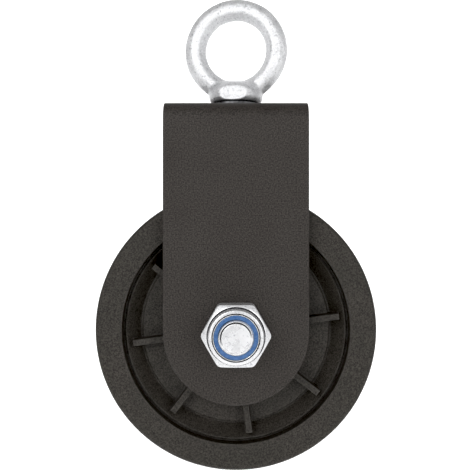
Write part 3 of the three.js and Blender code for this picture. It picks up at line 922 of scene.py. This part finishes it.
def sheave_outline():
    """The wheel's whole outline: front face, groove, rear face and bore."""
    front = sheave_front()
    root_angles = [math.radians(degrees) for degrees in range(-60, 61, 12)]
    root = [(40.5 - 3.5 * math.cos(angle), 3.5 * math.sin(angle)) for angle in root_angles]
    lip = 14.4
    seat = 16.0
    corners = [(r, -y, f) for r, y, f in front]
    corners += [(r, y, 0) for r, y in root]
    corners += [(r, y, f) for r, y, f in reversed(front)]
    hub = SHEAVE_HALF - 0.5
    corners += [
        (lip, hub, 0.4),
        (lip, 5.0, 0.1),
        (seat, 5.0, 0.1),
        (seat, -5.05, 0.05),
        (16.86, -5.05, 0.05),
        (16.86, -6.35, 0.05),
        (seat, -6.35, 0.05),
        (seat, -hub, 0.5),
    ]
    return rounded(corners, True, 6)


def with_steps(outline, longest):
    """An outline with rows at the ends of the ribs, and its long stretches between them divided."""
    cuts = [RIB_END + cut for cut in RIB_CUTS]
    divided = []
    for index, here in enumerate(outline):
        following = outline[(index + 1) % len(outline)]
        divided.append(here)
        if not (20 < min(here.x, following.x) and max(here.x, following.x) < 36):
            continue
        pieces = math.ceil((following - here).length / longest)
        shares = {step / pieces for step in range(1, pieces)}
        if abs(following.x - here.x) > 1:
            crossed = [(cut - here.x) / (following.x - here.x) for cut in cuts]
            crossed = [share for share in crossed if 0 < share < 1]
            shares = {share for share in shares if all(abs(share - other) > 0.02 for other in crossed)}
            shares |= set(crossed)
        divided += [here.lerp(following, share) for share in sorted(shares)]
    return divided


def column_list():
    """Columns round the wheel: (rib, offset in millimetres, True) or (rib, share of the gap, False)."""
    offsets = [0.0, 0.45] + [RIB_HALF + cut for cut in RIB_CUTS]
    columns = []
    for rib in range(RIBS):
        columns += [(rib, -offset, True) for offset in reversed(offsets[1:])]
        columns += [(rib, offset, True) for offset in offsets]
        columns += [(rib, step / BETWEEN_RIBS, False) for step in range(1, BETWEEN_RIBS)]
    return columns


def column_angle(column, radius):
    rib, value, on_rib = column
    pitch = TURN / RIBS
    if on_rib:
        return RIB_PHASE + rib * pitch + math.asin(value / radius)
    edge = math.asin((RIB_HALF + RIB_CUTS[-1]) / radius)
    return RIB_PHASE + rib * pitch + edge + value * (pitch - 2 * edge)


def ribbed_height(height, column, radius):
    """The distance from the middle plane of the wheel's face, with the ribs standing on it."""
    over = RIB_TOP - height
    if not column[2] or not 20.0 < radius < 36 or over <= 0:
        return height
    outside = max(abs(column[1]) - RIB_HALF, radius - RIB_END)
    if outside < 1e-6:
        into = max(0, RIB_EDGE + outside)
        return RIB_TOP - min(over, RIB_EDGE - math.sqrt(max(0, RIB_EDGE**2 - into**2)))
    left = max(0, RIB_FOOT + RIB_DRAFT - outside)
    return height + min(over, RIB_FOOT - math.sqrt(max(0, RIB_FOOT**2 - min(left, RIB_FOOT) ** 2)))


def sheave():
    columns = column_list()
    rows = []
    for radius, height in with_steps(sheave_outline(), 0.5):
        side = math.copysign(1, height)
        row = []
        for column in columns:
            raised = side * ribbed_height(abs(height), column, radius)
            spot = Vector(about_y(radius, raised, column_angle(column, radius)))
            row.append(spot + Vector((0, 0, AXLE_Z)))
        rows.append(row)
    vertices, faces = joined_rows(rows, True)
    piece = new_object("fine_sheave", vertices, faces)
    weigh_normals(piece)
    return piece


def retaining_ring():
    """The ring in the hub: an open spring ring with an eyelet at each end."""
    low, high = node_box("bearing_retaining_ring")
    outer = (high.x - low.x) / 2
    gap = math.radians(25)
    steps = 96
    start = -math.pi / 2 + gap
    sweep = TURN - 2 * gap
    outside, inside = [], []
    for step in range(steps + 1):
        share = step / steps
        angle = start + sweep * share
        width = 2.3 + 0.9 * math.sin(math.pi * share)
        ends = min(share, 1 - share) * sweep
        width += 1.5 * max(0, 1 - (ends / 0.2) ** 2)
        outside.append((outer * math.cos(angle), AXLE_Z + outer * math.sin(angle)))
        inside.append(((outer - width) * math.cos(angle), AXLE_Z + (outer - width) * math.sin(angle)))
    ring = prism("fine_retaining_ring", outside + inside[::-1], lambda x, z, y: (x, y, z), low.y, high.y)
    for end in (start + 0.09, start + sweep - 0.09):
        middle = outer - 1.95
        x, z = middle * math.cos(end), AXLE_Z + middle * math.sin(end)
        eyelet = circle(0.9, 32, x, z)
        drill = prism("drill", eyelet, lambda a, b, y: (a, y, b), low.y - 1, high.y + 1)
        apply_boolean(ring, drill, "DIFFERENCE")
    bevel_edges(ring, 0.1, 2)
    return ring


# ---- Bearing -------------------------------------------------------------------------------------


# The section of a shield as (radius, distance from the middle plane, fillet).
SHIELD_CORNERS = (
    (9.42, 4.1, 0.1),
    (13.66, 4.1, 0.1),
    (13.66, 4.4, 0.1),
    (12.9, 4.4, 0.2),
    (12.5, 4.28, 0.2),
    (9.9, 4.28, 0.2),
    (9.42, 4.4, 0.1),
)


def race_arc(centre, radius, half_angle, outward):
    """Points of a race groove's section, along +Y."""
    side = 1 if outward else -1
    angles = [half_angle * (2 * step / 16 - 1) for step in range(17)]
    return [(centre + side * radius * math.cos(a), radius * math.sin(a)) for a in angles]


def bearing_rings():
    """Fine inner and outer rings with their races, and the two shields."""
    half = node_box("bearing_outer_ring")[1].y
    pitch, race, ball_and_play = 11.0, 3.095, 3.0265
    half_angle = math.radians(51)
    inner = race_arc(pitch - ball_and_play + race, race, half_angle, False)
    inner_corners = [(6.02, -half, 0.5), (9.15, -half, 0.3)] + [(r, y, 0) for r, y in inner]
    inner_corners += [(9.15, half, 0.3), (6.02, half, 0.5)]
    outer = race_arc(pitch + ball_and_play - race, race, half_angle, True)
    outer_corners = [(16.0, -half, 0.6), (16.0, half, 0.6), (13.72, half, 0.15)]
    outer_corners += [(13.72, 4.05, 0.05), (12.85, 4.05, 0.05)]
    outer_corners += [(r, y, 0) for r, y in reversed(outer)]
    outer_corners += [(12.85, -4.05, 0.05), (13.72, -4.05, 0.05), (13.72, -half, 0.15)]
    inner_ring = axle_turned("fine_inner_ring", rounded(inner_corners, True, 4))
    finish(inner_ring, "frame", "bearing_inner_ring", "bearing_steel")
    outer_ring = axle_turned("fine_outer_ring", rounded(outer_corners, True, 4))
    finish(outer_ring, "wheel", "bearing_outer_ring", "bearing_steel")
    for side, node in ((-1, "bearing_shield_front"), (1, "bearing_shield_rear")):
        outline = rounded(SHIELD_CORNERS, True, 3)
        placed = [(r, side * y) for r, y in outline]
        shield = axle_turned("fine_" + node, placed)
        finish(shield, "wheel", node, "bearing_steel")


def bearing_balls():
    for number in range(1, 8):
        node = f"bearing_ball_{number}"
        low, high = node_box(node)
        centre = (low + high) / 2
        radius = (high.z - low.z) / 2
        angles = [math.pi * step / 24 for step in range(25)]
        outline = [(radius * math.sin(angle), -radius * math.cos(angle)) for angle in angles]
        outline[0] = (0, -radius)
        outline[-1] = (0, radius)
        ball = turned("fine_" + node, outline, about_y, 48, centre)
        finish(ball, f"ball_{number}", node, "bearing_steel")


def build_wheel():
    finish(sheave(), "wheel", "sheave", "black_nylon")
    finish(retaining_ring(), "wheel", "bearing_retaining_ring", "spring_steel")
    bearing_rings()
    bearing_balls()
    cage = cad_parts["bearing_cage"]
    cage.data.materials.clear()
    cage.data.materials.append(FINISHES["natural_nylon"])


# ---- Stage, light and camera ---------------------------------------------------------------------


def build_stage():
    """A pale floor that curves up into a backdrop, well clear of the block."""
    floor = -0.30
    outline = [(-3.0, floor), (0.9, floor), (1.2, floor + 0.08), (1.35, floor + 0.35), (1.4, floor + 2.6)]
    corners = [(y, z, 0.25) for y, z in outline]
    path = rounded(corners, False, 16)
    vertices = [Vector((x, y, z)) / MM for y, z in path for x in (-3.0, 3.0)]
    faces = [(2 * i, 2 * i + 1, 2 * i + 3, 2 * i + 2) for i in range(len(path) - 1)]
    sweep = new_object("floor_and_backdrop", vertices, faces)
    shader = Shader("paper")
    fibre = shader.noise(0.05, detail=2)
    colour = shader.ramp(fibre, [(0.3, (0.93, 0.93, 0.93)), (0.7, (0.95, 0.95, 0.95))])
    shader.surface.inputs["Emission Color"].default_value = (1, 1, 1, 1)
    shader.surface.inputs["Emission Strength"].default_value = 0.4
    sweep.data.materials.append(shader.finished(colour, 0.9))


def area_light(name, place, target, size, power):
    data = bpy.data.lights.new(name, "AREA")
    data.shape = "RECTANGLE"
    data.size, data.size_y = size
    data.energy = power
    light = bpy.data.objects.new(name, data)
    light.location = place
    aim = Vector(target) - Vector(place)
    light.rotation_euler = aim.to_track_quat("-Z", "Y").to_euler()
    bpy.context.scene.collection.objects.link(light)


# Greys of the light tent, as (share of the way from -1 to 1, grey), from front to back and upwards.
TENT_BY_DEPTH = ((0.0, 0.6), (0.03, 0.95), (0.25, 0.8), (0.48, 0.42), (0.7, 0.4), (1.0, 0.5))
TENT_BY_HEIGHT = ((0.0, 0.8), (0.45, 1.0), (0.55, 1.0), (0.7, 0.75), (1.0, 0.6))
# What is taken off the tent's light for matt surfaces, so that black ones stay black.
MATT_DIMMING = 0.45


def build_world():
    """White to the camera. For all other rays a light tent: bright in front, dimmer at the sides."""
    world = bpy.data.worlds.new("studio")
    world.use_nodes = True
    tree = world.node_tree
    bpy.context.scene.world = world
    place = tree.nodes.new("ShaderNodeTexCoord")
    split = tree.nodes.new("ShaderNodeSeparateXYZ")
    tree.links.new(place.outputs["Generated"], split.inputs[0])
    by_depth = tent_ramp(tree, split.outputs["Y"], TENT_BY_DEPTH)
    by_height = tent_ramp(tree, split.outputs["Z"], TENT_BY_HEIGHT)
    joined = tree.nodes.new("ShaderNodeMix")
    joined.data_type = "RGBA"
    joined.blend_type = "MULTIPLY"
    joined.inputs[0].default_value = 1
    tree.links.new(by_depth, joined.inputs[6])
    tree.links.new(by_height, joined.inputs[7])
    background = tree.nodes["Background"]
    tree.links.new(joined.outputs[2], background.inputs["Color"])
    white = tree.nodes.new("ShaderNodeBackground")
    white.inputs["Color"].default_value = (1, 1, 1, 1)
    rays = tree.nodes.new("ShaderNodeLightPath")
    choice = tree.nodes.new("ShaderNodeMixShader")
    tree.links.new(rays.outputs["Is Camera Ray"], choice.inputs[0])
    matt = tree.nodes.new("ShaderNodeMath")
    matt.operation = "MULTIPLY_ADD"
    matt.inputs[1].default_value = -MATT_DIMMING
    matt.inputs[2].default_value = 1.0
    tree.links.new(rays.outputs["Is Diffuse Ray"], matt.inputs[0])
    tree.links.new(matt.outputs[0], background.inputs["Strength"])
    tree.links.new(background.outputs[0], choice.inputs[1])
    tree.links.new(white.outputs[0], choice.inputs[2])
    tree.links.new(choice.outputs[0], tree.nodes["World Output"].inputs["Surface"])


def tent_ramp(tree, component, stops):
    """Greys along one component of the direction, from -1 to 1."""
    share = tree.nodes.new("ShaderNodeMath")
    share.operation = "MULTIPLY_ADD"
    share.inputs[1].default_value = 0.5
    share.inputs[2].default_value = 0.5
    tree.links.new(component, share.inputs[0])
    ramp = tree.nodes.new("ShaderNodeValToRGB")
    elements = ramp.color_ramp.elements
    while len(elements) < len(stops):
        elements.new(0.5)
    for element, (position, grey) in zip(elements, stops):
        element.position = position
        element.color = (grey, grey, grey, 1)
    tree.links.new(share.outputs[0], ramp.inputs["Fac"])
    return ramp.outputs["Color"]


def build_lights():
    centre = (0, 0, AXLE_Z * MM * 0.7)
    area_light("key", (-0.42, -0.85, 0.3), centre, (0.5, 0.5), 3.0)
    area_light("fill", (0.5, -0.8, 0.15), centre, (0.45, 0.5), 1.8)
    area_light("top", (0.0, 0.1, 0.8), centre, (0.9, 0.7), 0.4)
    area_light("back", (0.0, 0.9, 0.6), (0, 1.4, -0.1), (1.6, 0.6), 6)


def build_camera():
    """The camera looks level along +Y, a hand's width in front of the block and over its axle."""
    data = bpy.data.cameras.new("camera")
    data.sensor_width = 36
    data.lens = 54.8
    camera = bpy.data.objects.new("camera", data)
    camera.location = Vector((-0.3, -240, AXLE_Z + 30.3)) * MM
    camera.rotation_euler = (math.pi / 2, 0, 0)
    data.clip_start = 0.01
    bpy.context.scene.collection.objects.link(camera)
    bpy.context.scene.camera = camera


build_eye()
finish(bent_strap(), "frame", "bracket", "black_powder_coat")
build_axle()
build_wheel()
build_stage()
build_world()
build_lights()
build_camera()
view = bpy.context.scene.view_settings
view.view_transform = "Standard"
view.use_curve_mapping = True
view.curve_mapping.black_level = (0.01, 0.01, 0.01)
view.curve_mapping.update()
